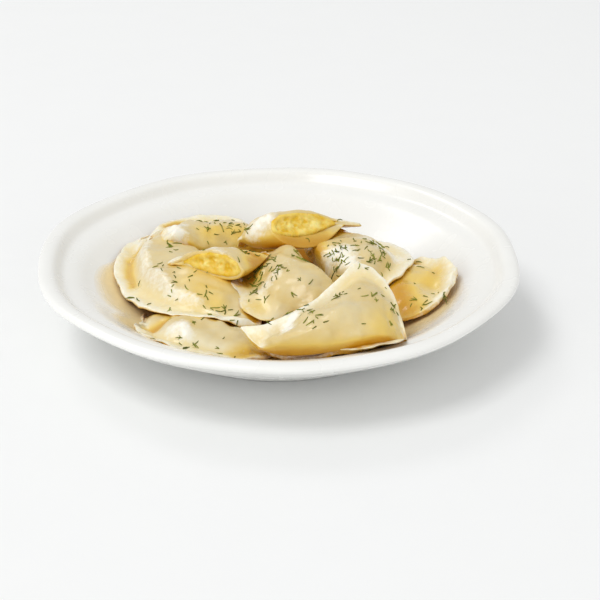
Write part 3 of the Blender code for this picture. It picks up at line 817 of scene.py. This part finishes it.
# dill: a few needles and sprigs made once, then strewn over the heap
dill = dict(
    width=0.00060, sides=4, steps=4, taper=0.9, tip=0.45, lift=0.00022, steepest=0.12,
    # length, bow and lean of each needle, then length, turn and shift of each leaf of a sprig
    needles={"needleShort": (0.0024, 0.00004, 0.0), "needleMiddle": (0.0036, 0.00012, 0.06),
             "needleLong": (0.0054, 0.00026, -0.08), "needleCurled": (0.0040, 0.00014, 0.30)},
    sprigs={"sprigForked": ((0.0034, 14, 0.0), (0.0028, -20, 0.0)),
            "sprigFeathered": ((0.0052, 4, -0.001), (0.0024, 38, 0.0), (0.0022, -36, 0.0006))},
    weights=(5, 6, 3, 2, 2, 2), sprigBow=0.02, sprigLean=0.05,
    seed=11, strew=70, strewShares=(0.1, 0.9), strewSizes=(0.5, 0.9), sizes=(0.75, 1.25), tilt=0.10,
    scatter=(0.55, 0.75),
    # on each dumpling: share of its width and depth, spread, how many, and their size
    clusters={
        "pierog_back_left": (
            (0.52, 0.25, 0.007, 8, 0.9), (0.48, 0.45, 0.009, 11, 0.8), (0.62, 0.40, 0.008, 9, 0.8),
            (0.75, 0.35, 0.006, 4, 0.9)),
        "pierog_half_top": ((0.08, 0.30, 0.002, 2, 1.5),),
        "pierog_half_left": ((0.80, 0.55, 0.005, 7, 0.9),),
        "pierog_left": (
            (0.37, 0.71, 0.003, 7, 1.1), (0.42, 0.78, 0.005, 3, 0.9), (0.18, 0.31, 0.003, 4, 1.2),
            (0.44, 0.22, 0.005, 7, 0.9), (0.47, 0.37, 0.004, 2, 1.1), (0.53, 0.29, 0.004, 2, 1.0),
            (0.68, 0.20, 0.004, 3, 1.1), (0.32, 0.48, 0.006, 3, 0.7), (0.73, 0.10, 0.006, 10, 1.0),
            (0.81, 0.05, 0.005, 8, 1.1)),
        "pierog_front_left": ((0.45, 0.48, 0.003, 3, 1.1), (0.40, 0.16, 0.004, 6, 1.1)),
        "pierog_middle": (
            (0.24, 0.44, 0.0035, 17, 1.0), (0.25, 0.33, 0.003, 8, 1.0), (0.36, 0.52, 0.005, 8, 0.9),
            (0.41, 0.35, 0.005, 10, 0.9), (0.22, 0.22, 0.003, 4, 1.1), (0.31, 0.19, 0.002, 3, 1.1),
            (0.53, 0.19, 0.002, 1, 1.0), (0.66, 0.17, 0.002, 1, 1.0), (0.58, 0.57, 0.004, 10, 1.0)),
        "pierog_back_right": (
            (0.32, 0.40, 0.006, 20, 0.9), (0.32, 0.27, 0.004, 10, 1.0), (0.53, 0.43, 0.008, 13, 0.9),
            (0.69, 0.40, 0.006, 8, 1.0), (0.74, 0.30, 0.004, 7, 1.1), (0.62, 0.27, 0.005, 6, 0.9)),
        "pierog_front": (
            (0.15, 0.34, 0.002, 1, 0.9), (0.31, 0.42, 0.003, 2, 1.0), (0.39, 0.46, 0.004, 5, 0.9),
            (0.47, 0.18, 0.005, 5, 1.0), (0.43, 0.22, 0.004, 4, 1.1), (0.59, 0.56, 0.004, 4, 1.0),
            (0.81, 0.53, 0.0015, 1, 1.9), (0.93, 0.50, 0.003, 5, 1.0), (0.75, 0.16, 0.002, 1, 0.8),
            (0.92, 0.28, 0.003, 1, 0.9)),
        "pierog_right": (
            (0.44, 0.20, 0.003, 3, 1.0), (0.60, 0.14, 0.004, 6, 1.1), (0.75, 0.22, 0.003, 2, 1.1)),
        "pierog_front_low": ((0.46, 0.06, 0.004, 5, 0.8), (0.72, 0.25, 0.004, 2, 0.8))})


def needle(name, length, bow, lean):
    # one leaf, drawn out of a tiny ring along X and bowed so that it hugs what it lies on
    deselectAll()
    bpy.ops.mesh.primitive_circle_add(vertices=dill["sides"], radius=dill["width"] / 2, fill_type="NGON",
                                      location=(-length / 2, 0, 0), rotation=(0, math.pi / 2, 0))
    leaf = bpy.context.object
    leaf.name = name
    bpy.ops.object.transform_apply(location=True, rotation=True, scale=True)
    bpy.ops.object.mode_set(mode="EDIT")
    for step in range(dill["steps"]):
        bpy.ops.mesh.extrude_region_move(TRANSFORM_OT_translate={"value": (length / dill["steps"], 0, 0)})
        thinner = dill["taper"] if step < dill["steps"] - 1 else dill["tip"]
        middle = (-length / 2 + (step + 1) * length / dill["steps"], 0, 0)
        bpy.ops.transform.resize(value=(1, thinner, thinner), center_override=middle)
    bpy.ops.mesh.select_all(action="SELECT")
    bpy.ops.mesh.normals_make_consistent(inside=False)
    bpy.ops.object.mode_set(mode="OBJECT")
    for vertex in leaf.data.vertices:
        share = 2.0 * vertex.co.x / length
        vertex.co.z -= bow * share * share
        vertex.co.y += lean * length * share * share
    return leaf


def sprig(name, parts):
    # several leaves off one short stem
    leaves = []
    for length, turn, shift in parts:
        leaf = needle(name, length, dill["sprigBow"] * length, dill["sprigLean"])
        leaf.data.transform(Matrix.Translation((shift, 0, 0)) @ Matrix.Rotation(math.radians(turn), 4, "Z")
                            @ Matrix.Translation((length / 2, 0, 0)))
        leaves.append(leaf)
    deselectAll()
    for leaf in leaves:
        leaf.select_set(True)
    bpy.context.view_layer.objects.active = leaves[0]
    bpy.ops.object.join()
    return leaves[0]


def makeDill():
    cuttings = [needle(name, *shape) for name, shape in dill["needles"].items()]
    cuttings += [sprig(name, parts) for name, parts in dill["sprigs"].items()]
    draw = random.Random(dill["seed"])
    heap = {name: treeOf(piece) for name, piece in doughPieces.items()}
    whole = treeOf(*doughPieces.values())
    spots = []
    for nodeName, clusters in dill["clusters"].items():
        for shareX, shareY, spread, count, size in clusters:
            x, y = spotOn(nodeName, (shareX, shareY))
            for _ in range(count):
                away = [draw.gauss(0, spread * share) for share in dill["scatter"]]
                spots.append((x + away[0], y + away[1], size, heap[nodeName]))
    for _ in range(dill["strew"]):
        nodeName = draw.choice(list(dumplings))
        x, y = spotOn(nodeName, [draw.uniform(*dill["strewShares"]) for _ in range(2)])
        spots.append((x, y, draw.uniform(*dill["strewSizes"]), whole))
    laid = []
    for x, y, size, tree in spots:
        hit, normal, _, _ = tree.ray_cast(Vector((x, y, 0.1)), Vector((0, 0, -1)))
        kind = draw.choices(range(len(cuttings)), dill["weights"])[0]
        turn, tilt = draw.uniform(0, math.tau), draw.uniform(-dill["tilt"], dill["tilt"])
        scale = size * draw.uniform(*dill["sizes"])
        if hit is None or normal.z < dill["steepest"]:
            continue
        piece = bpy.data.objects.new("dillPiece", cuttings[kind].data.copy())
        bpy.context.scene.collection.objects.link(piece)
        upright = normal.to_track_quat("Z", "Y").to_matrix().to_4x4()
        place = Matrix.Translation(hit + normal * dill["lift"]) @ upright
        thickness = 0.6 + 0.4 * scale  # a long piece is only a little thicker
        stretch = Matrix.Diagonal((scale, thickness, thickness, 1.0))
        piece.data.transform(place @ Matrix.Rotation(turn, 4, "Z") @ Matrix.Rotation(tilt, 4, "Y") @ stretch)
        laid.append(piece)
    for cutting in cuttings:
        bpy.data.objects.remove(cutting, do_unlink=True)
    deselectAll()
    for piece in laid:
        piece.select_set(True)
    bpy.context.view_layer.objects.active = laid[0]
    bpy.ops.object.join()
    laid[0].name = "dill"
    finishPiece(laid[0], herbFinish)
    return laid[0], len(laid)


dillPiece, dillCount = makeDill()
print("dill:", dillCount, "leaves and sprigs,", len(dillPiece.data.polygons), "faces")


# floor, light and camera
studio = dict(
    floor=(0.88, 0.887, 0.884), floorShade=0.985, grainScale=30.0, floorSize=8.0, floorDrop=0.0002, sky=0.68,
    # place, size and power of each light, and what they all point at
    lights={"keyLight": ((-1.68, -1.22, 3.45), 1.6, 52.0), "fillLight": ((1.3, -3.7, 0.9), 2.8, 23.0),
            "sideLight": ((-3.2, -2.1, 0.45), 2.4, 22.0), "backLight": ((-1.7, 2.1, 3.2), 1.1, 15.0)},
    middle=(0.0, 0.0, 0.02))


def aim(obj, target):
    direction = Vector(target) - obj.location
    obj.rotation_euler = direction.to_track_quat("-Z", "Y").to_euler()


def makeStudio():
    deselectAll()
    bpy.ops.mesh.primitive_plane_add(size=studio["floorSize"], location=(0, 0, -studio["floorDrop"]))
    floor = bpy.context.object
    floor.name = "studioFloor"
    material, tree, shader = newMaterial("paleFloor")
    place = addNode(tree, "ShaderNodeTexCoord").outputs["Object"]
    grain = addNoise(tree, place, studio["grainScale"])
    tint = tuple(studio["floorShade"] * channel for channel in studio["floor"])
    tree.links.new(addMix(tree, grain, studio["floor"], tint), shader.inputs["Base Color"])
    shader.inputs["Roughness"].default_value = 0.9
    shader.inputs["Specular IOR Level"].default_value = 0.1
    floor.data.materials.append(material)
    world = bpy.data.worlds.new("studioSky")
    world.use_nodes = True
    background = world.node_tree.nodes["Background"]
    background.inputs["Color"].default_value = (1.0, 1.0, 1.0, 1.0)
    background.inputs["Strength"].default_value = studio["sky"]
    bpy.context.scene.world = world
    for name, (place, size, power) in studio["lights"].items():
        bpy.ops.object.light_add(type="AREA", location=place)
        light = bpy.context.object
        light.name = name
        light.data.size = size
        light.data.energy = power
        aim(light, studio["middle"])


cameraFit = dict(target=(0.0112, 0.0, 0.0115), distance=0.80, elevation=26.0, roll=0.4, lens=94.5)


def makeCamera():
    scene = bpy.context.scene
    elevation = math.radians(cameraFit["elevation"])
    back = Vector((0.0, -math.cos(elevation), math.sin(elevation)))
    place = Vector(cameraFit["target"]) + back * cameraFit["distance"]
    bpy.ops.object.camera_add(location=place)
    camera = bpy.context.object
    camera.name = "tableView"
    turn = Matrix.Rotation(math.radians(cameraFit["roll"]), 3, "Z")
    camera.rotation_euler = ((-back).to_track_quat("-Z", "Y").to_matrix() @ turn).to_euler()
    camera.data.lens = cameraFit["lens"]
    camera.data.sensor_width = 36.0
    camera.data.clip_start = 0.01
    scene.camera = camera
    scene.view_settings.view_transform = "Standard"


makeStudio()
makeCamera()
print("studio ready")
